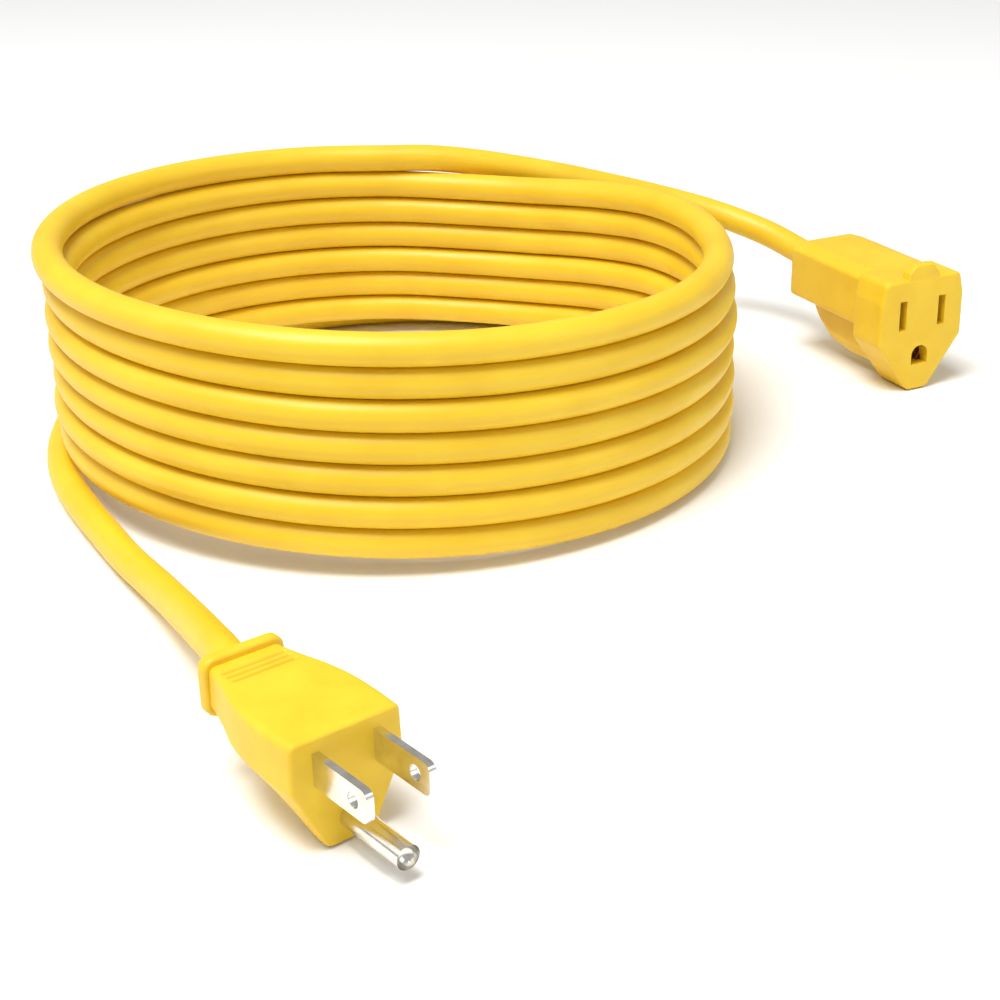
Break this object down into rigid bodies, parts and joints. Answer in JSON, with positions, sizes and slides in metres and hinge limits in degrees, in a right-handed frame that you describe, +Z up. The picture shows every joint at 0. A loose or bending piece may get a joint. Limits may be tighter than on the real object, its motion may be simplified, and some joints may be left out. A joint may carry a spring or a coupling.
{
  "type": "extension cord",
  "caption": "Grounded three-wire extension cord wound in a stacked round coil, with a three-bladed plug and a single-outlet connector on its ends.",
  "frame": {"origin": "bottom centre of the box round the plug and the connector, on the surface that the cord lies on", "axes": "+Z up; +Y from the plug towards the connector's side of the coil; +X from the coil towards the connector"},
  "size_m": [0.2467, 0.2983, 0.0608],
  "materials": {
    "jacket": "satin",
    "plug_vinyl": "satin",
    "blade_metal": "polished nickel plate",
    "contact_brass": "satin",
    "bridge_plastic": "matte",
    "core_plastic": "matte",
    "black_insulation": "satin",
    "white_insulation": "satin",
    "green_insulation": "satin",
    "copper": "bright"
  },
  "bodies": {
    "root": {"plug_body": "plug_vinyl", "plug_bridge": "bridge_plastic", "plug_line_blade": "blade_metal", "plug_neutral_blade": "blade_metal", "plug_ground_pin": "blade_metal", "plug_line_insulation": "black_insulation", "plug_neutral_insulation": "white_insulation", "plug_ground_insulation": "green_insulation", "plug_line_strands": "copper", "plug_neutral_strands": "copper", "plug_ground_strands": "copper", "plug_tail": "jacket", "cord_coil": "jacket", "connector_tail": "jacket", "connector_body": "plug_vinyl", "connector_core": "core_plastic", "connector_line_contact": "contact_brass", "connector_neutral_contact": "contact_brass", "connector_ground_contact": "contact_brass", "connector_line_insulation": "black_insulation", "connector_neutral_insulation": "white_insulation", "connector_ground_insulation": "green_insulation", "connector_line_strands": "copper", "connector_neutral_strands": "copper", "connector_ground_strands": "copper"}
  },
  "joints": []
}
